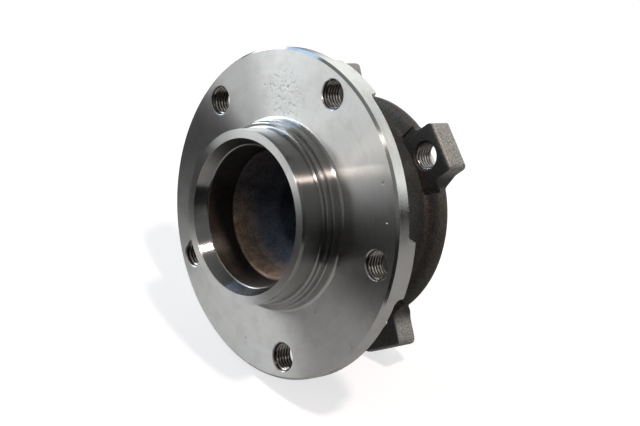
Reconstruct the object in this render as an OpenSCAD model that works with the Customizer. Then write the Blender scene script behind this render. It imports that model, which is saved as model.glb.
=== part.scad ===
// Non-driven front wheel hub unit: a flanged hub that turns on two rows of balls
// inside a forged outer ring, which bolts to the steering knuckle by four ears.
// Every piece is drawn about Z with the wheel side up, and on_axle() lays it down,
// so that the spin axis is Y, the wheel side faces -Y and Z points up.
// The origin is the centre of the face that the wheel and brake disc sit on.
// Heights along the axis are called a: 0 at that face, positive towards the wheel.

/* [Wheel flange] */
// Width of the flange outside the bolt circle
rim_w = 9.5; // [8.5:0.1:12]
// Thickness of the flange between the bolt bosses
flange_t = 6.6; // [5.6:0.1:8]
// Thickness of the flange at the bolt bosses
boss_t = 10.2; // [9:0.1:11.5]
// Width of a bolt boss along the rim
boss_w = 24; // [20:1:28]
// Radius in the corner between a boss and the thin flange
boss_fillet = 1.8; // [0.5:0.1:2]
// Chamfer at the rim's front edge
rim_chamfer = 1; // [0.4:0.1:1.6]
// Diameter of the circle through the wheel bolt holes
bolt_circle_d = 120; // [112:1:122]
// Number of wheel bolt holes
bolt_count = 5; // [4:1:6]
// Nominal thread diameter of the wheel bolts
bolt_d = 12; // [10:1:14]
// Depth of the lead-in chamfer at both ends of a tapped hole
thread_lead = 0.45; // [0.2:0.05:0.45]
// Angle of the first wheel bolt hole, from X towards Z
bolt_angle = 77.9; // [0:0.1:90]

/* [Wheel and disc pilots] */
// Diameter of the pilot that centres the wheel
pilot_d = 72.5; // [70:0.1:74]
// Height of the wheel pilot above the flange face
pilot_h = 19; // [16:0.5:24]
// Height of the lead-in taper at the pilot's end
pilot_lead_h = 1.8; // [1:0.1:3]
// Radial size of that lead-in taper
pilot_lead = 0.25; // [0.1:0.05:0.6]
// Width of the step between the two pilots
step_w = 2.25; // [1.75:0.05:3]
// Height of that step
step_h = 7.7; // [6.5:0.1:9]
// How far the brake disc pilot stands out from that step
disc_step = 1; // [0.8:0.05:2]
// Height of the brake disc pilot
disc_pilot_h = 5.3; // [4:0.1:6]
// Radius of the relief between the disc pilot and the flange face
relief_r = 1.5; // [0.8:0.1:2]

/* [Bowl inside the pilot] */
// Wall of the pilot at the bowl's mouth
pilot_wall = 3.85; // [3:0.05:5]
// Radial width of the machined band in the mouth
band_w = 2.55; // [1.5:0.05:3.5]
// Height of the machined mouth band
band_h = 5.2; // [3:0.1:7]
// How far the forged shoulder stands inside the mouth band
shoulder_in = 2.55; // [2:0.05:4]
// Height of that shoulder above the flange face
shoulder_h = 1.75; // [-1:0.05:4]
// Diameter of the pocket at the bottom of the bowl
pocket_d = 33.8; // [28:0.2:36]
// Depth of the pocket's edge below the flange face
pocket_edge = 14.2; // [12:0.2:16]
// Depth of the pocket's floor below the flange face
pocket_depth = 28; // [24:0.5:32]
// Hollow of the dish between the shoulder and the pocket
dish_sag = 1.9; // [0:0.1:3]

/* [Bearing] */
// Diameter of a ball
ball_d = 11.9; // [11.5:0.1:12.3]
// Least gap between two balls of a row
ball_gap = 1.8; // [1.6:0.1:2.4]
// Diameter of the circle through the ball centres
pitch_d = 62; // [61.5:0.1:63]
// Contact angle of the balls
contact_angle = 40; // [32:1:42]
// Distance between the two rows of balls
row_gap = 21.5; // [20.5:0.1:24]
// Groove radius as a share of the ball diameter
conformity = 0.53; // [0.52:0.005:0.54]
// Clearance between a ball and its two grooves
race_clear = 0.05; // [0.04:0.01:0.1]
// Clearance between a ball and its cage pocket
pocket_clear = 0.2; // [0.15:0.05:0.3]
// Thickness of the cage rings
cage_t = 2.8; // [2.2:0.1:3.2]
// Rim of the cage beside a ball
cage_rim = 1.25; // [1:0.05:1.6]
// How far the cage rings lean outwards from middle to end
cage_lean = 2.5; // [1.5:0.1:3]
// Wall of the inner ring under its balls
inner_wall = 4.5; // [3.5:0.1:6]
// Thickness of the hub root behind the flange face
root_t = 12; // [11.5:0.1:14]
// Thickness of the collar that is rolled over the inner ring
collar_t = 4.2; // [3:0.1:5]

/* [Outer ring] */
// Wall of the outer ring over its balls
ring_wall = 5; // [4:0.1:6]
// Distance from the flange face back to the knuckle face
knuckle_depth = 54.5; // [54:0.1:57]
// Thickness of the mounting ears
ear_t = 10.5; // [9:0.1:12]
// Width of a mounting ear
ear_w = 22; // [20:0.1:24]
// Reach of the two short ears beyond their holes
short_tip = 10; // [8.5:0.1:13]
// Reach of the two long ears beyond their holes
long_tip = 14; // [9:0.1:15]
// Angle of the first ear's hole, from X towards Z; the others mirror it
ear_angle = 51.1; // [45:0.1:55]
// Angle by which the two long ears lie off the middle of their holes
long_lean = 1.4; // [0:0.1:2]
// How far the threaded ear holes lie outside the body
ear_hole_out = 7; // [6:0.1:9]
// Nominal thread diameter of the knuckle bolts
ear_bolt_d = 12; // [10:1:12]
// Height of the web between the ears above the body
web_rise = 7.1; // [6:0.1:8]
// How far the web's front lies behind the ears' front
web_set = 2.2; // [1.4:0.1:3]
// Radius where an ear runs into the web
ear_fillet = 7; // [5:0.5:9]
// Radius at the corners of an ear
ear_round = 2.6; // [0.8:0.1:3]
// Wall of the knuckle spigot around the end cap
spigot_wall = 2.9; // [2.4:0.1:3.6]

/* [Seals, encoder and cap] */
// Gap between the outer ring and the hub root
labyrinth = 2; // [1.6:0.1:2.6]
// Width of the wheel-side seal
seal_w = 5; // [4.6:0.1:6]
// Sheet thickness of the seal case and the slinger
sheet_t = 0.6; // [0.5:0.05:0.7]
// Gap between the seal lips and what they run on
lip_gap = 0.15; // [0.1:0.05:0.3]
// Thickness of the magnetised encoder ring
encoder_t = 1; // [0.8:0.1:1.4]
// Air gap between the encoder ring and the end cap
air_gap = 0.8; // [0.6:0.1:1.2]
// Sheet thickness of the end cap
cap_t = 0.8; // [0.6:0.1:1]
// How far the end cap stands out of the outer ring
cap_stand = 2.1; // [1.4:0.1:2.8]

/* [Hidden] */
$fn = 96;
eps = 0.01;
edge = 0.4;
ring_edge = 0.8;
row_names = ["outboard", "inboard"];

// Radii of the hub, from the wheel pilot inwards and outwards
bolt_circle_r = bolt_circle_d / 2;
flange_r = bolt_circle_r + rim_w;
pilot_r = pilot_d / 2;
step_r = pilot_r + step_w;
disc_pilot_r = step_r + disc_step;
mouth_r = pilot_r - pilot_wall;
band_r = mouth_r - band_w;
shoulder_r = band_r - shoulder_in;
pocket_r = pocket_d / 2;

// Grooves: each is a circle a little larger than the ball, set back from the contact
pitch_r = pitch_d / 2;
ball_r = ball_d / 2;
ball_count = floor(180 / asin((ball_d + ball_gap) / pitch_d));
groove_r = conformity * ball_d;
groove_set = groove_r - ball_r - race_clear;
groove_dr = groove_set * cos(contact_angle);
groove_da = groove_set * sin(contact_angle);
race_out_r = pitch_r + ball_r + race_clear;
race_in_r = pitch_r - ball_r - race_clear;
land_step = 0.09 * ball_d;
high_land_h = 0.41 * ball_d;
mid_land_r = pitch_r + 0.24 * ball_d;
end_land_r = race_out_r - land_step / 2;
inner_low_r = race_in_r + land_step / 4;
inner_high_r = race_in_r + high_land_h;

// Radii of the outer ring and the hub's stem, from the raceways
seat_step = 0.35;
root_over = 2;
body_r = race_out_r + ring_wall;
root_r = body_r + root_over;
web_r = body_r + web_rise;
ear_hole_r = body_r + ear_hole_out;
cap_seat_r = race_out_r + seat_step;
spigot_r = cap_seat_r + spigot_wall;
stem_r = race_in_r - inner_wall;

// Heights along the axis, from the flange face inwards
run_gap = 0.6;
inner_end_w = 2.4;
cage_half = ball_r + pocket_clear + cage_rim;
ring_front_a = -root_t - labyrinth;
seal_back_a = ring_front_a - seal_w;
row_a = [seal_back_a - run_gap - cage_half, seal_back_a - run_gap - cage_half - row_gap];
joint_a = (row_a[0] + row_a[1]) / 2;
seat_floor_a = row_a[1] - cage_half;
stem_end_a = seat_floor_a - inner_end_w;

// Collar rolled out of the stem's end over the inner ring, around a recess
collar_w = 7;
collar_round = 1.5;
stem_wall = 7;
recess_depth = 6;
recess_round = 2;
collar_a = stem_end_a - collar_t;
collar_r = stem_r + collar_w;
recess_r = stem_r - stem_wall;
recess_floor_a = stem_end_a + recess_depth;

// Wheel-side seal
seal_land_r = inner_high_r + 1;
seal_seat_r = race_out_r + 1.3;
slinger_r = seal_seat_r - 1.7;
slinger_lead = 1.5;
slinger_end_a = seal_back_a + 0.9;
root_fillet = 1.2;
case_lip_r = seal_land_r + 2.6;

// Encoder and cap
carrier_a = stem_end_a - run_gap;
carrier_start_a = row_a[1] - ball_r - run_gap;
encoder_a = carrier_a - sheet_t;
encoder_face_a = encoder_a - encoder_t;
encoder_r = cap_seat_r - 1.5;
cap_a = encoder_face_a - air_gap;
ring_end_a = cap_a - cap_t + cap_stand;
cap_bead = 1.2;
bead_gap = 0.2;
bead_end_a = seat_floor_a - bead_gap;
cap_end_a = bead_end_a - cap_bead;
dome_r = collar_r + 1.6;
dome_a = collar_a - 1;
cap_bend = 0.7;

// Ears
ear_front_a = ear_t - knuckle_depth;
ear_back_a = -knuckle_depth;
web_back_set = 1.7;
web_back_a = ear_back_a + web_back_set;
web_front_a = ear_front_a - web_set;
hold_x = (body_r + cap_seat_r) / 2;
short_reach = ear_hole_r + short_tip;
long_reach = ear_hole_r + long_tip;
ear_places = [
    [ear_angle, short_reach, 0],
    [180 - ear_angle, long_reach, long_lean],
    [180 + ear_angle, short_reach, 0],
    [360 - ear_angle, long_reach, long_lean]
];

function ball_name(row, i) = str(row_names[row], "_ball_", i + 1);

// Lays a piece that is drawn about Z onto the spin axis, wheel side to -Y
module on_axle() rotate([90, 0, 0]) children();

// Points of an arc about [x, y] from angle from to angle to
function arc(x, y, r, from, to, n = 6) =
    [for (i = [0:n]) [x + r * cos(from + (to - from) * i / n), y + r * sin(from + (to - from) * i / n)]];

// Circle of a groove in the r-a plane; side is 1 for the outer ring and -1 for the inner
module groove(row, side) {
    lean = row == 0 ? 1 : -1;
    translate([pitch_r - side * groove_dr, row_a[row] + side * lean * groove_da]) circle(groove_r);
}

// Cutter for a tapped hole: the bore at the thread's outer diameter, with a chamfer at each end
module tapped_hole(d, top_a, bottom_a) {
    r = d / 2;
    translate([0, 0, bottom_a - 1]) cylinder(r = r, h = top_a - bottom_a + 2);
    translate([0, 0, top_a - thread_lead]) cylinder(r1 = r, r2 = r + thread_lead + eps, h = thread_lead + eps);
    translate([0, 0, bottom_a - eps]) cylinder(r1 = r + thread_lead + eps, r2 = r, h = thread_lead + eps);
}

// Half section of the forged bowl, from the pocket's floor out to the mouth band
function bowl_points() =
    let (pocket_round = 6, pocket_draft = 2, pocket_lip = 1.5)
    let (ridge = 0.9, wall_foot = 1.1, band_edge = 0.6)
    concat(
        [[0, -pocket_depth]],
        arc(pocket_r - pocket_draft - pocket_round, pocket_round - pocket_depth, pocket_round, 270, 350, 5),
        [[pocket_r - pocket_lip / 2, -pocket_edge - pocket_lip], [pocket_r, -pocket_edge]],
        [[(pocket_r + 2 * shoulder_r) / 3, (2 * shoulder_h - pocket_edge) / 3 - dish_sag]],
        arc(shoulder_r - edge, shoulder_h - ridge, ridge, 150, 20, 5),
        [[shoulder_r + ridge, shoulder_h - ridge], [shoulder_r + wall_foot, shoulder_h + ridge]],
        [[band_r - band_edge, pilot_h - band_h - band_edge], [band_r, pilot_h - band_h]]
    );

// Half section of the stem's end: the rolled collar and the recess inside it
function collar_points() =
    let (flat = 1.5, lip = 2.5, draft = 1, mid_r = (collar_r + recess_r) / 2)
    concat(
        [[collar_r - edge, stem_end_a]],
        arc(collar_r - collar_round, stem_end_a - collar_round, collar_round, 0, -50, 4),
        [[mid_r + flat, collar_a], [mid_r - flat, collar_a]],
        [[recess_r, collar_a + lip], [recess_r - draft, recess_floor_a + recess_round]],
        [[recess_r - draft - recess_round, recess_floor_a], [0, recess_floor_a]]
    );

// Half section of the hub: pilots, flange, seal land, first raceway, stem and bowl
module hub_section() {
    step_fillet = 1;
    root_cone = 5;
    polygon(concat(
        [[mouth_r, pilot_h], [pilot_r - pilot_lead, pilot_h], [pilot_r, pilot_h - pilot_lead_h]],
        arc(pilot_r + step_fillet, step_h + step_fillet, step_fillet, 180, 270),
        [[step_r - edge, step_h], [step_r, step_h - edge]],
        [[step_r, disc_pilot_h], [disc_pilot_r - edge, disc_pilot_h], [disc_pilot_r, disc_pilot_h - edge]],
        arc(disc_pilot_r + relief_r, relief_r, relief_r, 180, 270),
        [[flange_r - rim_chamfer, 0], [flange_r, -rim_chamfer]],
        [[flange_r, edge - flange_t], [flange_r - edge, -flange_t]],
        [[root_r + root_cone, -flange_t], [root_r, edge - root_t], [root_r - edge, -root_t]],
        arc(seal_land_r + root_fillet, -root_t - root_fillet, root_fillet, 90, 180),
        [[seal_land_r, seal_back_a], [inner_high_r, seal_back_a - edge]],
        [[inner_high_r, row_a[0]], [inner_low_r, row_a[0]], [inner_low_r, joint_a]],
        [[stem_r, joint_a], [stem_r, stem_end_a]],
        collar_points(),
        bowl_points()
    ));
}

// Cross-section of a bolt boss on the flange's back, with a concave radius at each side
module boss_section() {
    half = boss_w / 2;
    sink = 1;
    foot_a = sink - flange_t;
    polygon(concat(
        [[-half - boss_fillet, foot_a], [half + boss_fillet, foot_a]],
        arc(half + boss_fillet, -flange_t - boss_fillet, boss_fillet, 90, 180),
        [[half, edge - boss_t], [half - edge, -boss_t], [edge - half, -boss_t], [-half, edge - boss_t]],
        arc(-half - boss_fillet, -flange_t - boss_fillet, boss_fillet, 0, 90)
    ));
}

module hub_flange() {
    color("silver") on_axle() difference() {
        union() {
            rotate_extrude() difference() {
                hub_section();
                groove(0, -1);
            }
            intersection() {
                for (i = [0:bolt_count - 1])
                    rotate(bolt_angle + i * 360 / bolt_count)
                        translate([flange_r + 1, 0, 0]) rotate([90, 0, -90])
                            linear_extrude(flange_r - body_r) boss_section();
                translate([0, 0, -boss_t - 1]) cylinder(r = flange_r, h = boss_t);
            }
        }
        for (i = [0:bolt_count - 1])
            rotate(bolt_angle + i * 360 / bolt_count)
                translate([bolt_circle_r, 0, 0]) tapped_hole(bolt_d, 0, -boss_t);
    }
}

module inner_ring() {
    color("lightsteelblue") on_axle() rotate_extrude() difference() {
        polygon([
            [stem_r, joint_a], [inner_low_r, joint_a], [inner_low_r, row_a[1]],
            [inner_high_r, row_a[1]], [inner_high_r, stem_end_a + edge],
            [inner_high_r - edge, stem_end_a], [stem_r, stem_end_a]
        ]);
        groove(1, -1);
    }
}

// Half section of the outer ring without its ears: body, web crest, spigot, seats and lands
module ring_section() {
    crest = 3;
    crest_drop = 0.5;
    crease = 2.5;
    spigot_foot = 1.5;
    foot_gap = 0.1;
    points = concat(
        [[seal_seat_r + edge, ring_front_a], [body_r - ring_edge, ring_front_a]],
        [[body_r, ring_front_a - ring_edge]],
        arc(body_r + crease, web_front_a + crease, crease, 180, 250, 5),
        arc(web_r - crest, web_front_a - crest - crest_drop, crest, 70, 0, 5),
        arc(web_r - crest, web_back_a + crest, crest, 0, -90, 5),
        [[spigot_r + spigot_foot, web_back_a], [spigot_r, ear_back_a - foot_gap]],
        [[spigot_r, ring_end_a + ring_edge], [spigot_r - ring_edge, ring_end_a]],
        [[cap_seat_r + edge, ring_end_a], [cap_seat_r, ring_end_a + ring_edge]],
        [[cap_seat_r, seat_floor_a], [end_land_r, seat_floor_a + edge]],
        [[end_land_r, row_a[1]], [mid_land_r, row_a[1]], [mid_land_r, row_a[0]], [end_land_r, row_a[0]]],
        [[end_land_r, seal_back_a], [seal_seat_r, seal_back_a], [seal_seat_r, ring_front_a - edge]]
    );
    polygon(points);
}

// Outline of an ear seen along the axis, with the radii that run it into the web
module ear_outline(reach) {
    half = ear_w / 2;
    crest_in = 0.5;
    fillet_y = half + ear_fillet;
    fillet_x = sqrt(pow(web_r - crest_in + ear_fillet, 2) - pow(fillet_y, 2));
    root_angle = atan2(fillet_y, fillet_x);
    polygon(concat(
        [[hold_x, -hold_x * tan(root_angle)]],
        arc(fillet_x, -fillet_y, ear_fillet, 180 - root_angle, 90, 10),
        arc(reach - ear_round, ear_round - half, ear_round, -90, 0, 4),
        arc(reach - ear_round, half - ear_round, ear_round, 0, 90, 4),
        arc(fillet_x, fillet_y, ear_fillet, 270, 180 + root_angle, 10),
        [[hold_x, hold_x * tan(root_angle)]]
    ));
}

// Outline of an ear seen from its side, with rounded outer edges and a machined back
module ear_profile(reach) {
    front_round = 2.4;
    back_round = 1;
    start_x = hold_x - 1;
    polygon(concat(
        [[start_x, ear_back_a], [start_x, ear_front_a]],
        arc(reach - front_round, ear_front_a - front_round, front_round, 90, 0),
        arc(reach - back_round, ear_back_a + back_round, back_round, 0, -90)
    ));
}

module ear(reach) {
    intersection() {
        translate([0, 0, ear_back_a - 1]) linear_extrude(ear_t + 2) ear_outline(reach);
        translate([0, ear_w, 0]) rotate([90, 0, 0]) linear_extrude(2 * ear_w) ear_profile(reach);
    }
}

module outer_ring() {
    color("dimgray") on_axle() difference() {
        union() {
            rotate_extrude() difference() {
                ring_section();
                groove(0, 1);
                groove(1, 1);
            }
            for (place = ear_places) rotate(place[0] - place[2]) ear(place[1]);
        }
        for (place = ear_places)
            rotate(place[0]) translate([ear_hole_r, 0, 0]) tapped_hole(ear_bolt_d, ear_front_a, ear_back_a);
    }
}

module ball(row, i) {
    turn = (i + row / 2) * 360 / ball_count;
    color("white") on_axle() rotate(turn) translate([pitch_r, 0, row_a[row]]) sphere(ball_r);
}

// One-piece cage: a ring that leans outwards towards its end, with a round pocket for each ball
module cage(row) {
    lean = row == 0 ? 1 : -1;
    mid_set = 0.7;
    mid_r = pitch_r - mid_set;
    end_r = mid_r + cage_lean;
    mid_a = row_a[row] - lean * cage_half;
    end_a = row_a[row] + lean * cage_half;
    half = cage_t / 2;
    color("olivedrab") on_axle() difference() {
        rotate_extrude() polygon([
            [mid_r - half, mid_a], [mid_r + half, mid_a], [end_r + half, end_a], [end_r - half, end_a]
        ]);
        for (i = [0:ball_count - 1])
            rotate((i + row / 2) * 360 / ball_count)
                translate([pitch_r, 0, row_a[row]]) sphere(ball_r + pocket_clear);
    }
}

// Sheet-metal ring pressed into the outer ring, which carries the rubber lips
module outboard_seal_case() {
    start_a = ring_front_a - edge;
    floor_a = seal_back_a + sheet_t;
    color("slategray") on_axle() rotate_extrude() polygon([
        [seal_seat_r, start_a], [seal_seat_r - sheet_t, start_a], [seal_seat_r - sheet_t, floor_a],
        [case_lip_r, floor_a], [case_lip_r, seal_back_a], [seal_seat_r, seal_back_a]
    ]);
}

// The two sides of a lip, from its root on the seal's base to its tip
function lip(root_r, root_a, root_w, tip_r, tip_a, tip_w) = [
    [root_r + root_w / 2, root_a], [tip_r + tip_w / 2, tip_a],
    [tip_r - tip_w / 2, tip_a], [root_r - root_w / 2, root_a]
];

// Moulded rubber: two lips that run on the slinger's face and one on its sleeve
module outboard_seal_lips() {
    base_t = 1.2;
    root_w = 0.8;
    tip_w = 0.35;
    lip_lean = 0.6;
    lip_pitch = 1.6;
    case_r = seal_seat_r - sheet_t;
    floor_a = seal_back_a + sheet_t;
    base_a = floor_a + base_t;
    face_a = -root_t - sheet_t - lip_gap;
    sleeve_r = seal_land_r + sheet_t + lip_gap;
    neck_r = case_lip_r - sheet_t;
    outer_tip_r = slinger_r - lip_lean;
    inner_tip_r = outer_tip_r - lip_pitch;
    color("black") on_axle() rotate_extrude() polygon(concat(
        [[case_r, floor_a], [case_r, base_a]],
        lip(outer_tip_r - lip_lean, base_a, root_w, outer_tip_r, face_a, tip_w),
        lip(inner_tip_r - lip_lean, base_a, root_w, inner_tip_r, face_a, tip_w),
        [[neck_r + edge, base_a], [sleeve_r + tip_w, base_a + 1], [sleeve_r, base_a + root_w]],
        [[neck_r, floor_a + base_t / 2], [neck_r, seal_back_a], [case_lip_r, seal_back_a], [case_lip_r, floor_a]]
    ));
}

// Sheet-metal ring pressed onto the hub, which the seal lips run on
module outboard_slinger() {
    top_a = -root_t;
    corner = sheet_t / 3;
    color("gainsboro") on_axle() rotate_extrude() polygon([
        [seal_land_r, slinger_end_a], [seal_land_r, top_a - slinger_lead],
        [seal_land_r + slinger_lead, top_a], [slinger_r, top_a], [slinger_r, top_a - sheet_t],
        [seal_land_r + slinger_lead + corner, top_a - sheet_t],
        [seal_land_r + sheet_t, top_a - slinger_lead - corner], [seal_land_r + sheet_t, slinger_end_a]
    ]);
}

// Steel carrier pressed onto the inner ring, which holds the encoder ring
module encoder_carrier() {
    color("gainsboro") on_axle() rotate_extrude() polygon([
        [inner_high_r, carrier_start_a], [inner_high_r + sheet_t, carrier_start_a],
        [inner_high_r + sheet_t, carrier_a], [encoder_r, carrier_a], [encoder_r, encoder_a],
        [inner_high_r, encoder_a]
    ]);
}

// Magnetised rubber ring that the wheel speed sensor reads
module encoder_ring() {
    bond_r = inner_high_r + ring_edge;
    color("saddlebrown") on_axle() rotate_extrude() polygon([
        [bond_r, encoder_a], [encoder_r, encoder_a], [encoder_r, encoder_face_a], [bond_r, encoder_face_a]
    ]);
}

// Pressed cap that closes the knuckle side: a disc domed over the hub's rolled collar, with a
// skirt that is pressed into the outer ring
module end_cap() {
    r = cap_seat_r;
    color("lightgray") on_axle() rotate_extrude() polygon([
        [0, dome_a], [dome_r - cap_bend, dome_a], [dome_r, dome_a + cap_bend], [dome_r, cap_a],
        [r - cap_t - cap_bend, cap_a], [r - cap_t, cap_a + cap_bend], [r - cap_t, cap_end_a],
        [r, cap_end_a], [r, cap_a - cap_t + cap_bend], [r - cap_bend, cap_a - cap_t],
        [dome_r + cap_t, cap_a - cap_t], [dome_r + cap_t, dome_a - cap_t + cap_bend],
        [dome_r + cap_t - cap_bend, dome_a - cap_t], [0, dome_a - cap_t]
    ]);
}

// Rubber bead on the end of the cap's skirt, which seals against the outer ring's bore
module end_cap_bead() {
    r = cap_seat_r;
    bead_edge = 0.3;
    color("black") on_axle() rotate_extrude() polygon([
        [r, cap_end_a], [r, bead_end_a - bead_edge], [r - bead_edge, bead_end_a],
        [r - cap_t, bead_end_a], [r - cap_t - bead_edge, bead_end_a - bead_edge], [r - cap_t, cap_end_a]
    ]);
}

outer_ring();
outboard_seal_case();
outboard_seal_lips();
end_cap();
end_cap_bead();
hub_flange();
inner_ring();
outboard_slinger();
encoder_carrier();
encoder_ring();
cage(0);  // outboard_cage
cage(1);  // inboard_cage
for (row = [0, 1]) for (i = [0:ball_count - 1])
    ball(row, i);
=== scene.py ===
# %% [markdown]
# # A wheel hub unit on white paper
# The real object is a front wheel hub: a forged ring bolts to the car and does not turn,
# and a turned steel flange carries the wheel on two rows of balls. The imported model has
# every solid at its true size, so this lesson dresses it: finishes that follow the marks
# of the lathe and the forge, worn edges on the forging, the screw threads in its nine
# holes, paper and light.
# Lengths are metres, and mm is the handy small unit.

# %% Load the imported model
from math import cos, hypot, pi, radians, sin

import bpy
from mathutils import Matrix, Vector


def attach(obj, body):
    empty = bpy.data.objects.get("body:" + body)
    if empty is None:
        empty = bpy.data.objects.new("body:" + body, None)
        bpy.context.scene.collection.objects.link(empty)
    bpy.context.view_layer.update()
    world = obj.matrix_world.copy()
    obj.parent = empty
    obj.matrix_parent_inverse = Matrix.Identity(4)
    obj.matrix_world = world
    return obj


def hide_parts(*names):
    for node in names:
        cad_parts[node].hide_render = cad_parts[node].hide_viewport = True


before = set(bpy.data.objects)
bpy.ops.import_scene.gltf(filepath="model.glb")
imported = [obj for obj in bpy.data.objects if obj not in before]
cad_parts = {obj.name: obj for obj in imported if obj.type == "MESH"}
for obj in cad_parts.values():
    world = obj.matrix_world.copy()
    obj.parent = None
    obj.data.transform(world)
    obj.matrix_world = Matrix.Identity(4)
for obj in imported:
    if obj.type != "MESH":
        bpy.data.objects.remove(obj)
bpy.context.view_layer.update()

mm = 0.001

# %% [markdown]
# ## The camera
# A long lens looks down at the hub from the front right. Its place and its three axes were
# worked out from the rims and holes in the picture, so the render lines up with it.

# %% Place the camera
camera_place = Vector((0.398610, -0.397566, 0.217519))
camera_right = Vector((0.63690, 0.72992, 0.24814))
camera_up = Vector((-0.42616, 0.06511, 0.90230))
lens_mm = 81.433

camera_data = bpy.data.cameras.new("camera")
camera_data.lens = lens_mm
camera_data.sensor_width = 36.0
camera_data.clip_start = 0.02
camera = bpy.data.objects.new("camera", camera_data)
bpy.context.scene.collection.objects.link(camera)
camera_back = camera_right.cross(camera_up).normalized()
camera_up = camera_back.cross(camera_right).normalized()
turn = Matrix((camera_right.normalized(), camera_up, camera_back)).transposed()
camera.matrix_world = Matrix.Translation(camera_place) @ turn.to_4x4()
bpy.context.scene.camera = camera
print("camera is", round(camera_place.length, 3), "m from the middle of the wheel face")

# %% [markdown]
# ## Sizes that several cells share
# The tapped holes come up in the finishes, in the forging and in the threads, so their
# places are named once. These sizes are in millimetres, y is the depth behind the wheel
# face, and a bearing is in degrees round the axle from the x axis towards z.

# %% Name the shared sizes
hole_r = 6.0
wheel_holes = 5
wheel_hole_ring = 60.0
first_wheel_hole = 77.9
ear_hole_ring = 49.0
ear_hole_bearings = (51.1, 128.9, 231.1, 308.9)
ear_hole_x, ear_hole_z = 30.77, 38.13
ear_front_y, ear_back_y = 44.0, 54.5
print(wheel_holes, "wheel holes and", len(ear_hole_bearings), "ear holes,", 2 * hole_r, "mm wide")

# %% [markdown]
# ## Small helpers
# An operator acts on all that is selected, and the loaded nodes come in selected. So each
# piece starts from an empty selection. A finished piece keeps its place in its mesh, with
# its object at the origin, so that patterns on object coordinates stay where they belong.
# In a node tree, put takes a number, a colour of three parts or another node's output.

# %% Select one object, and settle a finished piece
def pick(piece):
    bpy.ops.object.select_all(action="DESELECT")
    piece.select_set(True)
    bpy.context.view_layer.objects.active = piece


def settle(piece):
    pick(piece)
    bpy.ops.object.transform_apply(location=True, rotation=True, scale=True)
    return piece


# %% Add nodes in few words
def add(tree, kind, **settings):
    made = tree.nodes.new(kind)
    for name, value in settings.items():
        setattr(made, name, value)
    return made


def put(tree, value, socket):
    if isinstance(value, bpy.types.NodeSocket):
        tree.links.new(value, socket)
    else:
        socket.default_value = (*value, 1.0) if socket.type == "RGBA" else value


def sums(tree, operation, *values):
    made = add(tree, "ShaderNodeMath", operation=operation)
    for value, socket in zip(values, made.inputs):
        put(tree, value, socket)
    return made.outputs[0]


def span(tree, value, low, high, to_low=0.0, to_high=1.0):
    made = add(tree, "ShaderNodeMapRange", interpolation_type="SMOOTHSTEP")
    for given, socket in zip((value, low, high, to_low, to_high), made.inputs):
        put(tree, given, socket)
    return made.outputs[0]


def blend_values(tree, share, first, second):
    made = add(tree, "ShaderNodeMix")
    put(tree, share, made.inputs[0])
    put(tree, first, made.inputs[2])
    put(tree, second, made.inputs[3])
    return made.outputs[0]


def blend_colours(tree, share, first, second):
    made = add(tree, "ShaderNodeMix", data_type="RGBA")
    put(tree, share, made.inputs[0])
    put(tree, first, made.inputs[6])
    put(tree, second, made.inputs[7])
    return made.outputs[2]


# %% [markdown]
# ## Shared effects
# Lathe rings, rough skin, scratches and stains turn up in several finishes. Each is a node
# group, made once, which gives values that change over the surface. Their sizes are in
# millimetres. The rings are measured from the axle, because every mark of a lathe runs
# round that line.

# %% Start a node group
def new_group(name, inputs, outputs):
    tree = bpy.data.node_groups.new(name, "ShaderNodeTree")
    for label, start in inputs:
        socket = tree.interface.new_socket(label, in_out="INPUT", socket_type="NodeSocketFloat")
        socket.default_value = start
    for label in outputs:
        tree.interface.new_socket(label, in_out="OUTPUT", socket_type="NodeSocketFloat")
    return tree, add(tree, "NodeGroupInput"), add(tree, "NodeGroupOutput")


def use(tree, group, **values):
    made = add(tree, "ShaderNodeGroup", node_tree=group)
    for name, value in values.items():
        put(tree, value, made.inputs[name])
    return made.outputs


# %% Distance from the axle and along it, in millimetres
axle_place, _, place_out = new_group("axle_place", [], ["Radius", "Along", "Turn"])
place_in = add(axle_place, "ShaderNodeTexCoord")
place_parts = add(axle_place, "ShaderNodeSeparateXYZ")
put(axle_place, place_in.outputs["Object"], place_parts.inputs[0])
across, along, upward = place_parts.outputs
flat_squares = [sums(axle_place, "MULTIPLY", part, part) for part in (across, upward)]
from_axle = sums(axle_place, "SQRT", sums(axle_place, "ADD", *flat_squares))
put(axle_place, sums(axle_place, "DIVIDE", from_axle, mm), place_out.inputs["Radius"])
put(axle_place, sums(axle_place, "DIVIDE", along, mm), place_out.inputs["Along"])
put(axle_place, sums(axle_place, "ARCTAN2", upward, across), place_out.inputs["Turn"])
print("made", axle_place.name)

# %% Rings left by the lathe tool
depth_share = 1.37

turned_rings, rings_in, rings_out = new_group("turned_rings", [("Pitch", 0.4)], ["Height", "Shade"])
place = use(turned_rings, axle_place)
profile_run = sums(turned_rings, "MULTIPLY_ADD", place["Along"], depth_share, place["Radius"])
ring_step = sums(turned_rings, "DIVIDE", profile_run, rings_in.outputs["Pitch"])
for label, share, detail in (("Height", 1.0, 3.0), ("Shade", 0.23, 5.0)):
    rings = add(turned_rings, "ShaderNodeTexNoise", noise_dimensions="1D")
    put(turned_rings, sums(turned_rings, "MULTIPLY", ring_step, share), rings.inputs["W"])
    rings.inputs["Scale"].default_value = 1.0
    rings.inputs["Detail"].default_value = detail
    rings.inputs["Roughness"].default_value = 0.65
    put(turned_rings, rings.outputs["Fac"], rings_out.inputs[label])
print("made", turned_rings.name)

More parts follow.
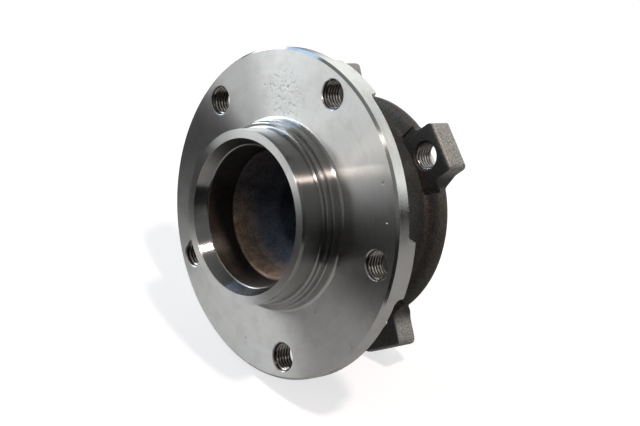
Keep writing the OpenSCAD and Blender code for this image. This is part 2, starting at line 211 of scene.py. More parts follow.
# %% Rough skin of forged or cast metal
rough_skin, skin_in, skin_out = new_group("rough_skin", [("Grain", 1.0)], ["Height", "Shade"])
skin_place = add(rough_skin, "ShaderNodeTexCoord").outputs["Object"]
skin_scale = sums(rough_skin, "DIVIDE", 1 / mm, skin_in.outputs["Grain"])
for label, share, detail in (("Height", 1.0, 6.0), ("Shade", 0.35, 4.0)):
    lumps = add(rough_skin, "ShaderNodeTexNoise")
    put(rough_skin, skin_place, lumps.inputs["Vector"])
    put(rough_skin, sums(rough_skin, "MULTIPLY", skin_scale, share), lumps.inputs["Scale"])
    lumps.inputs["Detail"].default_value = detail
    lumps.inputs["Roughness"].default_value = 0.62
    put(rough_skin, lumps.outputs["Fac"], skin_out.inputs[label])
print("made", rough_skin.name)

# %% Fine scratches from handling
hair_tilts = (0.35, 1.45, 2.5)
hair_stretch = 28.0
hair_limit, hair_edge = 0.78, 0.03

hairlines, hair_in, hair_out = new_group("hairlines", [("Length", 6.0), ("Amount", 0.5)], ["Mask"])
hair_place = add(hairlines, "ShaderNodeTexCoord").outputs["Object"]
hair_sets = []
for tilt in hair_tilts:
    turned = add(hairlines, "ShaderNodeMapping")
    put(hairlines, hair_place, turned.inputs["Vector"])
    turned.inputs["Rotation"].default_value = (0.0, tilt, 0.0)
    turned.inputs["Scale"].default_value = (1.0, 1.0, hair_stretch)
    strands = add(hairlines, "ShaderNodeTexNoise")
    put(hairlines, turned.outputs[0], strands.inputs["Vector"])
    fineness = sums(hairlines, "DIVIDE", 1 / mm, hair_in.outputs["Length"])
    put(hairlines, fineness, strands.inputs["Scale"])
    strands.inputs["Detail"].default_value = 2.0
    low_edge = sums(hairlines, "MULTIPLY_ADD", hair_in.outputs["Amount"], -0.12, hair_limit)
    high_edge = sums(hairlines, "ADD", low_edge, hair_edge)
    hair_sets.append(span(hairlines, strands.outputs["Fac"], low_edge, high_edge))
both = sums(hairlines, "MAXIMUM", hair_sets[0], hair_sets[1])
put(hairlines, sums(hairlines, "MAXIMUM", both, hair_sets[2]), hair_out.inputs["Mask"])
print("made", hairlines.name)

# %% Blotches of oil and oxide
blotch_edge = 0.16

blotches, blotch_in, blotch_out = new_group("blotches", [("Size", 12.0), ("Cover", 0.5)], ["Mask"])
blotch_place = add(blotches, "ShaderNodeTexCoord").outputs["Object"]
cloud = add(blotches, "ShaderNodeTexNoise")
put(blotches, blotch_place, cloud.inputs["Vector"])
put(blotches, sums(blotches, "DIVIDE", 1 / mm, blotch_in.outputs["Size"]), cloud.inputs["Scale"])
cloud.inputs["Detail"].default_value = 5.0
edge_at = sums(blotches, "SUBTRACT", 1.0, blotch_in.outputs["Cover"])
low_edge = sums(blotches, "MULTIPLY_ADD", edge_at, 0.6, 0.12)
high_edge = sums(blotches, "ADD", low_edge, blotch_edge)
put(blotches, span(blotches, cloud.outputs["Fac"], low_edge, high_edge), blotch_out.inputs["Mask"])
print("made", blotches.name)

# %% [markdown]
# ## Finishes
# Each finish is one material with a Principled shader. Turned steel gets anisotropy about
# the axle, because the grooves of the lathe smear a reflection across themselves: that
# gives the fan of light and dark on the flange. The patterns mix a dark and a light colour.

# %% Start a material
def new_finish(name, colour, roughness, metallic=1.0, smear=0.0):
    finish = bpy.data.materials.new(name)
    finish.use_nodes = True
    tree = finish.node_tree
    shader = tree.nodes["Principled BSDF"]
    shader.inputs["Base Color"].default_value = (*colour, 1.0)
    shader.inputs["Roughness"].default_value = roughness
    shader.inputs["Metallic"].default_value = metallic
    if smear:
        shader.inputs["Anisotropic"].default_value = smear
        shader.inputs["Anisotropic Rotation"].default_value = 0.25
        tangent = add(tree, "ShaderNodeTangent", direction_type="RADIAL", axis="Y")
        tree.links.new(tangent.outputs[0], shader.inputs["Tangent"])
    return finish, tree, shader


def emboss(tree, shader, height, depth_mm):
    bump = add(tree, "ShaderNodeBump")
    bump.inputs["Distance"].default_value = depth_mm * mm
    put(tree, height, bump.inputs["Height"])
    put(tree, bump.outputs[0], shader.inputs["Normal"])


# %% [markdown]
# ## Nearness to a hole
# The bores are painted darker inside and the threads' roots are painted dark, both as painted
# shade, so both need the distance to the middle of the nearest hole. The five wheel holes are
# alike, so the turn round the axle is folded into one fifth of a circle. The four ear holes
# mirror each other, so it is enough to drop the signs of x and z.

# %% Distance from the middle of the nearest hole, in millimetres
from_wheel_hole, _, leaving = new_group("from_wheel_hole", [], ["Distance"])
place = use(from_wheel_hole, axle_place)
half_gap = pi / wheel_holes
midway = radians(first_wheel_hole + 180 / wheel_holes)
folded = sums(from_wheel_hole, "SUBTRACT", place["Turn"], midway)
folded = sums(from_wheel_hole, "FLOORED_MODULO", folded, 2 * half_gap)
facing = sums(from_wheel_hole, "COSINE", sums(from_wheel_hole, "SUBTRACT", folded, half_gap))
reach = sums(from_wheel_hole, "MULTIPLY", place["Radius"], facing)
cross = sums(from_wheel_hole, "MULTIPLY", reach, -2 * wheel_hole_ring)
square = sums(from_wheel_hole, "MULTIPLY_ADD", place["Radius"], place["Radius"], wheel_hole_ring**2)
square = sums(from_wheel_hole, "MAXIMUM", sums(from_wheel_hole, "ADD", square, cross), 0.0)
put(from_wheel_hole, sums(from_wheel_hole, "SQRT", square), leaving.inputs["Distance"])

from_ear_hole, _, leaving = new_group("from_ear_hole", [], ["Distance"])
spot = add(from_ear_hole, "ShaderNodeSeparateXYZ")
put(from_ear_hole, add(from_ear_hole, "ShaderNodeTexCoord").outputs["Object"], spot.inputs[0])
squares = []
for side, reach in ((spot.outputs["X"], ear_hole_x), (spot.outputs["Z"], ear_hole_z)):
    side = sums(from_ear_hole, "ABSOLUTE", side)
    apart = sums(from_ear_hole, "MULTIPLY_ADD", side, 1 / mm, -reach)
    squares.append(sums(from_ear_hole, "MULTIPLY", apart, apart))
distance = sums(from_ear_hole, "SQRT", sums(from_ear_hole, "ADD", *squares))
put(from_ear_hole, distance, leaving.inputs["Distance"])
print("made", from_wheel_hole.name, from_ear_hole.name)

# %% [markdown]
# ## The hub's steel
# The wheel side is turned, so rings from the lathe show everywhere but in the bowl, which
# keeps the blue and tan scale of the forge, painted lighter on its lower left as light. The
# pilot's wall and the bores are painted darker as shade. The pilot's wall and the rim are
# finer cut. The face has a few small dents and a rubbed patch.

# %% Turned steel of the hub
pilot_wall = (40.4, 39.4)
pilot_corner = (-18.9, -18.6)

turned_steel, tree, shader = new_finish("turned_steel", (0.66, 0.655, 0.645), 0.36, smear=0.95)
place = use(tree, axle_place)
radius, depth = place["Radius"], place["Along"]
rings = use(tree, turned_rings, Pitch=0.5)
marks = use(tree, hairlines, Length=5.0, Amount=0.3)["Mask"]
stain = use(tree, blotches, Size=7.0, Cover=0.42)["Mask"]
hole_gap = use(tree, from_wheel_hole)["Distance"]
steel = blend_colours(tree, rings["Shade"], (0.61, 0.617, 0.6), (0.7, 0.707, 0.69))
steel = blend_colours(tree, sums(tree, "MULTIPLY", marks, 0.25), steel, (0.85, 0.85, 0.85))
steel = blend_colours(tree, sums(tree, "MULTIPLY", stain, 0.12), steel, (0.33, 0.27, 0.23))
# Painted shade: the pilot's turned wall, back from its front corner, is darkened half way to dark
# grey.
on_wall = span(tree, radius, *pilot_wall, 0.0, 0.5)
pilot_painted_shade = sums(tree, "MULTIPLY", on_wall, span(tree, depth, *pilot_corner))
steel = blend_colours(tree, pilot_painted_shade, steel, (0.2, 0.2, 0.19))
# Painted shade: the inside of each wheel hole's bore is darkened.
bore_painted_shade = span(tree, hole_gap, hole_r + 0.15, hole_r - 0.05)
steel = blend_colours(tree, bore_painted_shade, steel, (0.1, 0.08, 0.07))
print("coloured", turned_steel.name)

# %% Dents and a rubbed patch on the wheel face
dents = (
    (-26.7, 47.1),
    (-23.5, 48.6),
    (59.5, -30.4),
    (51.2, 37.5),
    (58.7, 24.4),
    (0.6, -58.8),
    (35.3, -27.5),
)
dent_reach = (0.8, 0.25)
patch_place, patch_reach = (-14, 47), (16, 5)
face_spot = add(tree, "ShaderNodeTexCoord").outputs["Object"]


def close_to(place_on_face, reach):
    x, z = place_on_face
    far, near = reach
    gap = add(tree, "ShaderNodeVectorMath", operation="DISTANCE")
    put(tree, face_spot, gap.inputs[0])
    put(tree, (x * mm, 0.0, z * mm), gap.inputs[1])
    return span(tree, gap.outputs["Value"], far * mm, near * mm)


hurt = 0.0
for dent in dents:
    hurt = sums(tree, "MAXIMUM", hurt, close_to(dent, dent_reach))
pits = use(tree, blotches, Size=1.5, Cover=0.36)["Mask"]
pits = sums(tree, "MULTIPLY", pits, close_to(patch_place, patch_reach))
hurt = sums(tree, "MAXIMUM", hurt, pits)
steel = blend_colours(tree, sums(tree, "MULTIPLY", hurt, 0.45), steel, (0.25, 0.23, 0.215))
print(len(dents), "dents and one rubbed patch")

# %% Scaled bowl behind the turned mouth
bowl_r, bowl_front_y = 30.2, -13.4
blue_from, blue_to = 8.0, 16.0
tan_from, tan_to = 20.5, 26.5
wall_from, wall_to = 27.6, 28.3
painted_light_bearing = radians(-112)
bowl_metallic = 0.35

skin = use(tree, rough_skin, Grain=1.4)
grit = use(tree, rough_skin, Grain=0.5)
in_bowl = sums(
    tree,
    "MULTIPLY",
    span(tree, radius, bowl_r, bowl_r - 0.2),
    span(tree, depth, bowl_front_y - 0.15, bowl_front_y + 0.15),
)
fine_grain = span(tree, grit["Height"], 0.35, 0.65)
coarse_grain = span(tree, skin["Shade"], 0.35, 0.65)
speckle = sums(tree, "MULTIPLY_ADD", fine_grain, 0.6, sums(tree, "MULTIPLY", coarse_grain, 0.4))
dark_scale = blend_colours(tree, speckle, (0.02, 0.022, 0.028), (0.07, 0.08, 0.105))
blue_scale = blend_colours(tree, speckle, (0.05, 0.062, 0.085), (0.2, 0.24, 0.32))
wall_scale = blend_colours(tree, speckle, (0.02, 0.016, 0.013), (0.06, 0.047, 0.038))
tan_scale = blend_colours(tree, speckle, (0.25, 0.165, 0.11), (0.82, 0.6, 0.45))
# Painted light: the blue tint and the tan scale are full only towards the bowl's lower left, where
# the light falls, and only a trace elsewhere.
facing = sums(tree, "COSINE", sums(tree, "SUBTRACT", place["Turn"], painted_light_bearing))
painted_light_share = span(tree, facing, 0.25, 0.8, 0.12, 1.0)
blue_share = sums(tree, "MULTIPLY", span(tree, radius, blue_from, blue_to), painted_light_share)
off_wall = span(tree, radius, wall_to, wall_from)
tan_share = sums(tree, "MULTIPLY", span(tree, radius, tan_from, tan_to), off_wall)
bowl = blend_colours(tree, blue_share, dark_scale, blue_scale)
bowl = blend_colours(tree, span(tree, radius, wall_from, wall_to), bowl, wall_scale)
bowl = blend_colours(tree, sums(tree, "MULTIPLY", tan_share, painted_light_share), bowl, tan_scale)
put(tree, blend_colours(tree, in_bowl, steel, bowl), shader.inputs["Base Color"])
metallic = sums(tree, "MULTIPLY_ADD", in_bowl, bowl_metallic - 1.0, 1.0)
put(tree, metallic, shader.inputs["Metallic"])
print("coloured the bowl inside radius", bowl_r)

# %% Polish and relief of the hub
polished_wall = (41.5, 40.0)
polished_corner = (-18.95, -18.7)
polished_rim = (68.3, 68.7)
plain_rough, polished_rough = 0.28, 0.14

on_wall = span(tree, radius, *polished_wall)
finer = sums(tree, "MULTIPLY", on_wall, span(tree, depth, *polished_corner))
finer = sums(tree, "MAXIMUM", finer, span(tree, radius, *polished_rim))
turned_rough = span(tree, finer, 0.0, 1.0, plain_rough, polished_rough)
bright_rough = sums(tree, "MULTIPLY_ADD", rings["Shade"], 0.1, turned_rough)
bowl_rough = sums(tree, "MULTIPLY_ADD", skin["Height"], 0.35, 0.3)
put(tree, blend_values(tree, in_bowl, bright_rough, bowl_rough), shader.inputs["Roughness"])
hollows = sums(tree, "MULTIPLY", hurt, -0.35)
face_height = sums(tree, "MULTIPLY_ADD", rings["Height"], 0.015, hollows)
emboss(tree, shader, blend_values(tree, in_bowl, face_height, skin["Height"]), 0.2)
print("made", turned_steel.name)

# %% [markdown]
# ## The ring's skin
# The outer ring keeps its dark forged skin: browner on the web, greyer out on the ears, and
# rusty in the crease where the web meets the body. Its seats are turned bright: the back
# face and the spigot, which meet the knuckle, and the bearing's bore.

# %% Forged ring with turned seats
knuckle_face_y = 54.3
seat_r = 38.5
ear_reach = (50.0, 57.0)
web_y, web_r = (45.5, 47.5), (44.5, 47.5)
crease_y, crease_inner, crease_outer = (42.5, 44.5), (42.2, 43.0), (45.2, 43.8)
skin_metallic = 0.55

forged_ring, tree, shader = new_finish("forged_ring", (0.12, 0.11, 0.105), 0.5)
place = use(tree, axle_place)
radius, depth = place["Radius"], place["Along"]
skin = use(tree, rough_skin, Grain=1.5)
grit = use(tree, rough_skin, Grain=0.55)
rings = use(tree, turned_rings, Pitch=0.5)
rust = use(tree, blotches, Size=10.0, Cover=0.5)["Mask"]
hole_gap = use(tree, from_ear_hole)["Distance"]
seat = sums(
    tree,
    "MAXIMUM",
    span(tree, depth, knuckle_face_y - 0.1, knuckle_face_y + 0.1),
    span(tree, radius, seat_r, seat_r - 0.2),
)
behind_front = span(tree, depth, ear_front_y + 0.2, ear_front_y + 1.2)
far_out = sums(tree, "MULTIPLY", span(tree, radius, *ear_reach), behind_front)
on_web = sums(tree, "MULTIPLY", span(tree, depth, *web_y), span(tree, radius, *web_r))
crease_ring = sums(
    tree, "MULTIPLY", span(tree, radius, *crease_inner), span(tree, radius, *crease_outer)
)
crease = sums(tree, "MULTIPLY", span(tree, depth, *crease_y), crease_ring)
rusty = sums(tree, "MULTIPLY", crease, sums(tree, "MULTIPLY_ADD", rust, 0.6, 0.3))
print("found the seats, web, ears and crease")

# %% Colours, polish and relief of the forging
speckle = span(tree, grit["Height"], 0.3, 0.7)
dark_scale = blend_colours(tree, speckle, (0.026, 0.028, 0.028), (0.1, 0.105, 0.102))
brown_scale = blend_colours(tree, speckle, (0.045, 0.042, 0.037), (0.155, 0.146, 0.132))
grey_scale = blend_colours(tree, speckle, (0.14, 0.142, 0.134), (0.56, 0.57, 0.54))
rust_scale = blend_colours(tree, speckle, (0.04, 0.023, 0.016), (0.15, 0.088, 0.06))
scale = blend_colours(tree, sums(tree, "MULTIPLY", on_web, 0.85), dark_scale, brown_scale)
scale = blend_colours(tree, far_out, scale, grey_scale)
scale = blend_colours(tree, rusty, scale, rust_scale)
# Painted shade: the inside of each ear hole's bore is darkened.
bore_painted_shade = span(tree, hole_gap, hole_r + 0.1, hole_r - 0.1)
scale = blend_colours(tree, bore_painted_shade, scale, (0.05, 0.045, 0.042))
bare = blend_colours(tree, rings["Shade"], (0.5, 0.495, 0.49), (0.62, 0.615, 0.61))
put(tree, blend_colours(tree, seat, scale, bare), shader.inputs["Base Color"])
metallic = sums(tree, "MULTIPLY_ADD", seat, 1.0 - skin_metallic, skin_metallic)
put(tree, metallic, shader.inputs["Metallic"])
skin_rough = sums(tree, "MULTIPLY_ADD", grit["Height"], 0.4, 0.32)
seat_rough = sums(tree, "MULTIPLY_ADD", rings["Shade"], 0.15, 0.22)
put(tree, blend_values(tree, seat, skin_rough, seat_rough), shader.inputs["Roughness"])
lumps = sums(tree, "MULTIPLY_ADD", grit["Height"], 0.45, skin["Height"])
fine_rings = sums(tree, "MULTIPLY", rings["Height"], 0.01)
emboss(tree, shader, blend_values(tree, seat, lumps, fine_rings), 0.32)
print("made", forged_ring.name)

# %% [markdown]
# ## The other finishes
# Threads are bright on their crests, and their roots are painted dark as shade. Ground,
# pressed and drawn steels share one function, and so do the rubbers and the cages, because
# they differ only in colour, polish and grain.

# %% Freshly cut threads
groove_reach = (5.35, 5.9)


def thread_finish(name, hole_group, crest, root):
    finish, tree, shader = new_finish(name, crest, 0.24)
    gap = use(tree, hole_group)["Distance"]
    oil = use(tree, blotches, Size=2.0, Cover=0.5)["Mask"]
    oiled = tuple(0.75 * part for part in crest)
    crest_colour = blend_colours(tree, oil, crest, oiled)
    # Painted shade: the roots of the thread, away from its crest, take the dark root colour.
    root_painted_shade = span(tree, gap, *groove_reach)
    put(tree, blend_colours(tree, root_painted_shade, crest_colour, root), shader.inputs["Base Color"])
    put(tree, sums(tree, "MULTIPLY_ADD", oil, 0.1, 0.2), shader.inputs["Roughness"])
    return finish


wheel_thread_steel = thread_finish(
    "wheel_thread_steel", from_wheel_hole, (0.5, 0.46, 0.43), (0.03, 0.024, 0.02)
)
ear_thread_steel = thread_finish(
    "ear_thread_steel", from_ear_hole, (0.5, 0.47, 0.45), (0.03, 0.025, 0.022)
)
print("made", wheel_thread_steel.name, ear_thread_steel.name)


# %% Steels of the hidden pieces
def ringed_finish(name, dark, light, rough, smear, pitch):
    finish, tree, shader = new_finish(name, light, rough, smear=smear)
    rings = use(tree, turned_rings, Pitch=pitch)
    put(tree, blend_colours(tree, rings["Shade"], dark, light), shader.inputs["Base Color"])
    put(tree, sums(tree, "MULTIPLY_ADD", rings["Height"], 0.12, rough), shader.inputs["Roughness"])
    emboss(tree, shader, rings["Height"], 0.004)
    return finish


ground_steel = ringed_finish(
    "ground_steel", (0.55, 0.55, 0.56), (0.66, 0.66, 0.67), rough=0.14, smear=0.5, pitch=0.25
)
pressed_sheet = ringed_finish(
    "pressed_sheet", (0.46, 0.46, 0.47), (0.57, 0.57, 0.58), rough=0.26, smear=0.4, pitch=0.8
)
drawn_cap = ringed_finish(
    "drawn_cap", (0.5, 0.5, 0.5), (0.62, 0.62, 0.62), rough=0.28, smear=0.45, pitch=1.1
)

ball_polish, tree, shader = new_finish("ball_polish", (0.75, 0.75, 0.76), 0.06)
haze = use(tree, blotches, Size=3.0, Cover=0.5)["Mask"]
put(tree, sums(tree, "MULTIPLY_ADD", haze, 0.06, 0.05), shader.inputs["Roughness"])
hazy = blend_colours(tree, haze, (0.74, 0.74, 0.76), (0.68, 0.67, 0.66))
put(tree, hazy, shader.inputs["Base Color"])
print("made", ground_steel.name, pressed_sheet.name, drawn_cap.name, ball_polish.name)


# %% Rubber and the moulded cages
def moulded_finish(name, dark, light, rough, grain):
    finish, tree, shader = new_finish(name, light, rough, metallic=0.0)
    skin = use(tree, rough_skin, Grain=grain)
    put(tree, blend_colours(tree, skin["Shade"], dark, light), shader.inputs["Base Color"])
    uneven = sums(tree, "MULTIPLY_ADD", skin["Height"], 0.2, rough - 0.1)
    put(tree, uneven, shader.inputs["Roughness"])
    emboss(tree, shader, skin["Height"], 0.02)
    return finish


seal_rubber = moulded_finish(
    "seal_rubber_finish", (0.018, 0.018, 0.018), (0.04, 0.04, 0.04), rough=0.6, grain=0.3
)
encoder_rubber = moulded_finish(
    "encoder_finish", (0.05, 0.036, 0.03), (0.085, 0.06, 0.05), rough=0.55, grain=0.2
)
cage_polymer = moulded_finish(
    "cage_finish", (0.085, 0.08, 0.055), (0.12, 0.115, 0.09), rough=0.45, grain=0.5
)
print("made", seal_rubber.name, encoder_rubber.name, cage_polymer.name)

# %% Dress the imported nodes
finish_of_node = {
    "hub_flange": turned_steel,
    "outer_ring": forged_ring,
    "inner_ring": ground_steel,
    "outboard_seal_case": pressed_sheet,
    "outboard_slinger": pressed_sheet,
    "encoder_carrier": pressed_sheet,
    "outboard_seal_lips": seal_rubber,
    "end_cap_bead": seal_rubber,
    "encoder_ring": encoder_rubber,
    "end_cap": drawn_cap,
    "outboard_cage": cage_polymer,
    "inboard_cage": cage_polymer,
}
for name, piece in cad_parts.items():
    finish = finish_of_node.get(name, ball_polish)
    for slot in piece.material_slots:
        slot.material = finish
print("dressed", len(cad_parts), "nodes")

# %% [markdown]
# ## The forging
# A drop forging has no knife edges: its ears flow into the web and every outer corner is
# worn round by the die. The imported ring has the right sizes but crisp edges, so a copy of it
# stands in. Its points near the web are eased in code, and a bevel rounds the outlines. Two
# ears lean a little from the line of their holes, so the outlines have their own bearings.

# %% Copy the ring and merge its corners
forging = bpy.data.objects.new("forging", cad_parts["outer_ring"].data.copy())
bpy.context.scene.collection.objects.link(forging)
pick(forging)
bpy.ops.object.mode_set(mode="EDIT")
bpy.ops.mesh.select_all(action="SELECT")
bpy.ops.mesh.remove_doubles(threshold=0.001 * mm)
bpy.ops.mesh.customdata_custom_splitnormals_clear()
bpy.ops.mesh.dissolve_limited(angle_limit=radians(0.4))
bpy.ops.object.mode_set(mode="OBJECT")
print("the ring has", len(forging.data.vertices), "points and", len(forging.data.polygons), "faces")

# %% Ease the flare of each ear into the web
ear_bearings = (51.1, 127.5, 231.1, 307.5)
ear_root_r = 38.0
ear_half_width = 11.0
web_middle_y, web_half = 49.5, 1.7
flare_reach = 3.9
face_slack, side_slack = 0.05, 0.02
eased = 0
for point in forging.data.vertices:
    x, y, z = point.co / mm
    if min(abs(y - ear_front_y), abs(y - ear_back_y)) > face_slack:
        continue
    for bearing in ear_bearings:
        out = x * cos(radians(bearing)) + z * sin(radians(bearing))
        side = abs(z * cos(radians(bearing)) - x * sin(radians(bearing)))
        if out > ear_root_r and side > ear_half_width + side_slack:
            share = min(1.0, (side - ear_half_width) / flare_reach)
            share = share * share * (3 - 2 * share)
            half = abs(y - web_middle_y)
            half += (web_half - half) * share
            point.co.y = (web_middle_y + (half if y > web_middle_y else -half)) * mm
            eased += 1
print("eased", eased, "points")

# %% Choose the edges that outline the ears
web_edge_r = 49.3
hole_room = 8.0
sharp_turn = radians(40)


def past_web(corner):
    x, y, z = corner / mm
    return hypot(x, z) > web_edge_r and ear_front_y - 0.1 < y < ear_back_y + 0.1


def near_hole(corner):
    x, _, z = corner / mm
    return hypot(abs(x) - ear_hole_x, abs(z) - ear_hole_z) < hole_room


forging.data.update()
faces_of_edge = {edge.key: [] for edge in forging.data.edges}
for face in forging.data.polygons:
    for key in face.edge_keys:
        faces_of_edge[key].append(face)
for parts in (forging.data.vertices, forging.data.edges, forging.data.polygons):
    for part in parts:
        part.select = False
chosen = 0
for edge in forging.data.edges:
    ends = [forging.data.vertices[i].co for i in edge.vertices]
    pair = faces_of_edge[edge.key]
    on_outline = all(map(past_web, ends)) and not all(map(near_hole, ends))
    if on_outline and len(pair) == 2 and pair[0].normal.angle(pair[1].normal) > sharp_turn:
        edge.select = True
        chosen += 1
print("chose", chosen, "edges")

# %% Round them with a bevel
outline_round = 1.3 * mm
pick(forging)
bpy.context.tool_settings.mesh_select_mode = (False, True, False)
bpy.ops.object.mode_set(mode="EDIT")
bpy.ops.mesh.bevel(offset=outline_round, segments=4, affect="EDGES", clamp_overlap=True)
bpy.ops.mesh.select_all(action="SELECT")
bpy.ops.mesh.normals_make_consistent(inside=False)
bpy.ops.object.mode_set(mode="OBJECT")
bpy.ops.object.shade_smooth_by_angle(angle=radians(32))
forging.data.materials.clear()
forging.data.materials.append(forged_ring)
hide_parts("outer_ring")
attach(forging, "bearing_housing")
print("rounded", chosen, "edges, now", len(forging.data.polygons), "faces")

# %% [markdown]
# ## Threads
# Wheel bolts and knuckle bolts screw into tapped holes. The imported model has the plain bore
# at the thread's outer diameter. A thread is one ridge wound as a screw, so a small profile
# is drawn once and wound by a Screw modifier, and each hole gets its own copy, turned to a
# start of its own. The lead cone at each end of a hole cuts the ridge away, which is how a
# real thread fades out.

# %% Sizes of the threads
bolt_r = hole_r * mm
thread_pitch = 1.5 * mm
crest_r = 5.2 * mm
root_bite = 0.06 * mm
root_half, crest_half = 0.46 * thread_pitch, 0.1 * thread_pitch
lead_in = 0.45 * mm
steps_a_turn = 40
print("thread pitch", round(thread_pitch / mm, 2), "mm")


# %% Wind one ridge
def wind_ridge(name, depth):
    bpy.ops.object.select_all(action="DESELECT")
    bpy.ops.mesh.primitive_circle_add(vertices=4, radius=bolt_r - crest_r)
    ridge = bpy.context.object
    ridge.name = name
    corners = (
        (bolt_r + root_bite, root_half),
        (crest_r, crest_half),
        (crest_r, -crest_half),
        (bolt_r + root_bite, -root_half),
    )
    for corner, (out, rise) in zip(ridge.data.vertices, corners):
        corner.co = (out, 0, rise)
    turns = int((depth - lead_in) / thread_pitch)
    screw = ridge.modifiers.new("wind", "SCREW")
    screw.screw_offset = thread_pitch
    screw.iterations = turns
    screw.steps = screw.render_steps = steps_a_turn
    screw.use_merge_vertices = True
    pick(ridge)
    bpy.ops.object.modifier_apply(modifier=screw.name)
    first_depth = (depth - turns * thread_pitch) / 2
    for point in ridge.data.vertices:
        point.co.z += first_depth
        end_gap = min(point.co.z, depth - point.co.z)
        reach = point.co.xy.length
        cone_r = bolt_r + lead_in + 0.5 * root_bite - end_gap
        point.co.xy = point.co.xy * max(reach, cone_r) / reach
    bpy.ops.object.mode_set(mode="EDIT")
    bpy.ops.mesh.select_all(action="SELECT")
    bpy.ops.mesh.normals_make_consistent(inside=False)
    bpy.ops.object.mode_set(mode="OBJECT")
    bpy.ops.object.shade_smooth_by_angle(angle=radians(25))
    print(name, "has", turns, "turns and", len(ridge.data.polygons), "faces")
    return ridge


def place_thread(master, name, centre, turn, body, finish):
    pick(master)
    bpy.ops.object.duplicate(linked=False)
    thread = bpy.context.object
    thread.name = name
    thread.rotation_euler = (-pi / 2, turn, 0)
    thread.location = centre
    settle(thread)
    thread.data.materials.clear()
    thread.data.materials.append(finish)
    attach(thread, body)


# %% Place a thread in every tapped hole
boss_depth = 10.2 * mm
ear_depth = (ear_back_y - ear_front_y) * mm
wheel_start_step, ear_start_step = 1.3, 1.7

wheel_ridge = wind_ridge("wheel_ridge", boss_depth)
for k in range(wheel_holes):
    a = radians(first_wheel_hole + 360 / wheel_holes * k)
    centre = (wheel_hole_ring * mm * cos(a), 0, wheel_hole_ring * mm * sin(a))
    name, start = f"wheel_thread_{k + 1}", wheel_start_step * k
    place_thread(wheel_ridge, name, centre, start, "hub", wheel_thread_steel)
ear_ridge = wind_ridge("ear_ridge", ear_depth)
for k, bearing in enumerate(ear_hole_bearings):
    a = radians(bearing)
    centre = (ear_hole_ring * mm * cos(a), ear_front_y * mm, ear_hole_ring * mm * sin(a))
    name, start = f"ear_thread_{k + 1}", ear_start_step * k
    place_thread(
        ear_ridge, name, centre, start, "bearing_housing", ear_thread_steel
    )
for ridge in (wheel_ridge, ear_ridge):
    bpy.data.objects.remove(ridge)

# %% [markdown]
# ## Paper, table and light
# The hub lies on white paper, on the foot of its flange and its two lower ears. Polished
# metal shows its surroundings, so these matter as much as the lamps. The camera sees paper,
# table and world as white. The metal sees a greyer paper that ends in front of the hub, a
# dark table beyond it, and a world that is dark at the horizon and pale above. Dark table
# and horizon together draw the dark wedges on the flange.

# %% Find the plane of the paper
foot_spots = ((-4.7, 6.2, -69.3), (29.8, 54.5, -55.6), (-28.6, 54.5, -51.8))
rim_foot, right_foot, left_foot = (Vector(spot) for spot in foot_spots)
paper_up = (right_foot - rim_foot).cross(left_foot - rim_foot).normalized()
corners = [v.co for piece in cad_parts.values() for v in piece.data.vertices]
lowest = min(map(paper_up.dot, corners))


def in_paper(direction):
    return (direction - paper_up * paper_up.dot(direction)).normalized()


paper_front = in_paper(Vector((-0.467, -0.884, 0)))
paper_side = paper_front.cross(paper_up)
print("paper lies", round(-lowest / mm, 2), "mm below the axle")
print("up is", [round(c, 3) for c in paper_up])


# %% Lay a flat sheet from its front and near edges
def lay_sheet(name, front_edge, near_edge, size, drop_mm):
    bpy.ops.object.select_all(action="DESELECT")
    bpy.ops.mesh.primitive_plane_add(size=2)
    sheet = bpy.context.object
    sheet.name = name
    turn = Matrix((paper_side, paper_front, paper_up)).transposed().to_4x4()
    middle = paper_side * (near_edge + size / 2) + paper_front * (front_edge - size / 2)
    middle += paper_up * (lowest - drop_mm * mm)
    sheet.matrix_world = Matrix.Translation(middle) @ turn @ Matrix.Scale(size / 2, 4)
    settle(sheet)
    return sheet


paper = lay_sheet("paper", front_edge=0.24, near_edge=-0.3, size=3.0, drop_mm=0.02)
table = lay_sheet("table", front_edge=3.0, near_edge=-3.0, size=6.0, drop_mm=1.0)
print("laid", paper.name, "and", table.name)


# %% Give both a finish that the camera sees as white and the metal as darker
def seen_directly(tree, mirrored=0.0):
    rays = add(tree, "ShaderNodeLightPath").outputs
    seen = sums(tree, "MAXIMUM", rays["Is Camera Ray"], rays["Is Transmission Ray"])
    return sums(tree, "MAXIMUM", seen, sums(tree, "MULTIPLY", rays["Is Glossy Ray"], mirrored))


def flat_finish(name, seen_colour, bounce_colour, glow_strength, mirrored):
    finish = bpy.data.materials.new(name)
    finish.use_nodes = True
    tree = finish.node_tree
    tree.nodes.clear()
    out = add(tree, "ShaderNodeOutputMaterial")
    matte = add(tree, "ShaderNodeBsdfDiffuse")
    colour = blend_colours(tree, seen_directly(tree), bounce_colour, seen_colour)
    put(tree, colour, matte.inputs["Color"])
    glow = add(tree, "ShaderNodeEmission")
    strength = sums(tree, "MULTIPLY", seen_directly(tree, mirrored), glow_strength)
    put(tree, strength, glow.inputs["Strength"])
    both = add(tree, "ShaderNodeAddShader")
    put(tree, matte.outputs[0], both.inputs[0])
    put(tree, glow.outputs[0], both.inputs[1])
    below = add(tree, "ShaderNodeNewGeometry")
    clear = add(tree, "ShaderNodeBsdfTransparent")
    sides = add(tree, "ShaderNodeMixShader")
    put(tree, below.outputs["Backfacing"], sides.inputs[0])
    put(tree, both.outputs[0], sides.inputs[1])
    put(tree, clear.outputs[0], sides.inputs[2])
    put(tree, sides.outputs[0], out.inputs["Surface"])
    return finish


dark = (0.03, 0.03, 0.032)
paper_white = flat_finish(
    "paper_white", (0.46, 0.46, 0.47), (0.23, 0.23, 0.23), glow_strength=0.68, mirrored=0.25
)
table_dark = flat_finish("table_dark", dark, dark, glow_strength=1.0, mirrored=0.0)
paper.data.materials.append(paper_white)
table.data.materials.append(table_dark)
print("made", paper_white.name, table_dark.name)

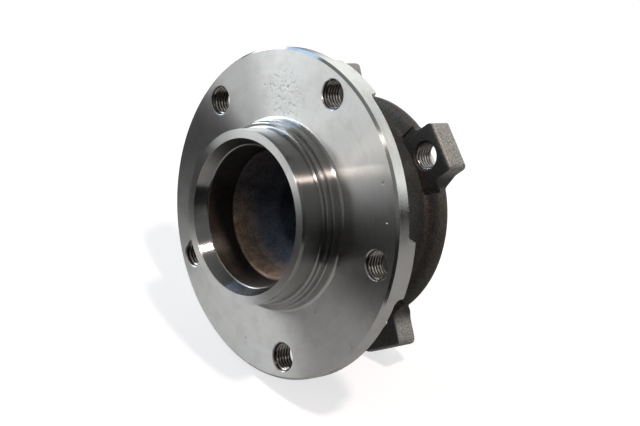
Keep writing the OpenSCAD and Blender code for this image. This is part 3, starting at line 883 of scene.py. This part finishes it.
# %% Shade the world from a dark horizon to a pale sky
world = bpy.data.worlds.new("studio")
bpy.context.scene.world = world
world.use_nodes = True
tree = world.node_tree
sky = tree.nodes["Background"]
sky.inputs["Color"].default_value = (1.0, 1.0, 1.0, 1.0)
height = add(tree, "ShaderNodeVectorMath", operation="DOT_PRODUCT")
put(tree, add(tree, "ShaderNodeTexCoord").outputs["Generated"], height.inputs[0])
put(tree, paper_up, height.inputs[1])
horizon_low, horizon_high = sin(radians(12)), sin(radians(45))
glimmer = span(tree, height.outputs["Value"], horizon_low, horizon_high, 0.02, 0.22)
put(tree, sums(tree, "MAXIMUM", glimmer, seen_directly(tree)), sky.inputs["Strength"])
print("made", world.name)

# %% [markdown]
# ## Lamps
# A wide soft box and a low card stand at the left, and a blue window strip nearer than the
# box draws the flange's top edge. A wide backdrop behind fills the dark gap in the rim, and
# one small lamp overhead casts the shadow on the paper. Bearings are in degrees, from the
# wheel side towards the left, and a rise is in degrees over the paper.

# %% Turn a bearing and a rise into a direction
ahead = in_paper(Vector((0, -1, 0)))
left = ahead.cross(paper_up)


def over_paper(bearing, rise):
    level = ahead * cos(radians(bearing)) + left * sin(radians(bearing))
    return level * cos(radians(rise)) + paper_up * sin(radians(rise))


# %% Place the lamps
def lamp(name, bearing, rise, distance, size, radiance, colour):
    direction = over_paper(bearing, rise)
    side = paper_up.cross(direction).normalized()
    turn = Matrix((side, direction.cross(side), direction)).transposed().to_4x4()
    data = bpy.data.lights.new(name, "AREA")
    data.shape = "RECTANGLE"
    data.size, data.size_y = size
    data.energy = radiance * pi * size[0] * size[1]
    data.color = colour
    made = bpy.data.objects.new(name, data)
    bpy.context.scene.collection.objects.link(made)
    made.matrix_world = Matrix.Translation(direction * distance) @ turn
    made.visible_camera = False
    print(name, "stands at", [round(c, 2) for c in made.location])


daylight = (0.975, 0.99, 1.0)
faint_green = (0.98, 1.0, 0.98)
warm = (1.0, 0.84, 0.78)
blue = (0.38, 0.64, 1.0)
lamp("soft_box", 64, 14.5, distance=1.3, size=(2.4, 0.44), radiance=3.4, colour=daylight)
lamp("low_card", 72, 0.4, distance=0.5, size=(0.46, 0.06), radiance=1.9, colour=daylight)
lamp("backdrop", 170, 14, distance=1.4, size=(2.7, 0.75), radiance=1.4, colour=faint_green)
lamp("overhead", -107, 70, distance=1.4, size=(0.12, 0.12), radiance=260.0, colour=warm)
lamp("window", 89, 25, distance=1.0, size=(0.42, 0.72), radiance=1.5, colour=blue)
bpy.context.scene.view_settings.view_transform = "Standard"
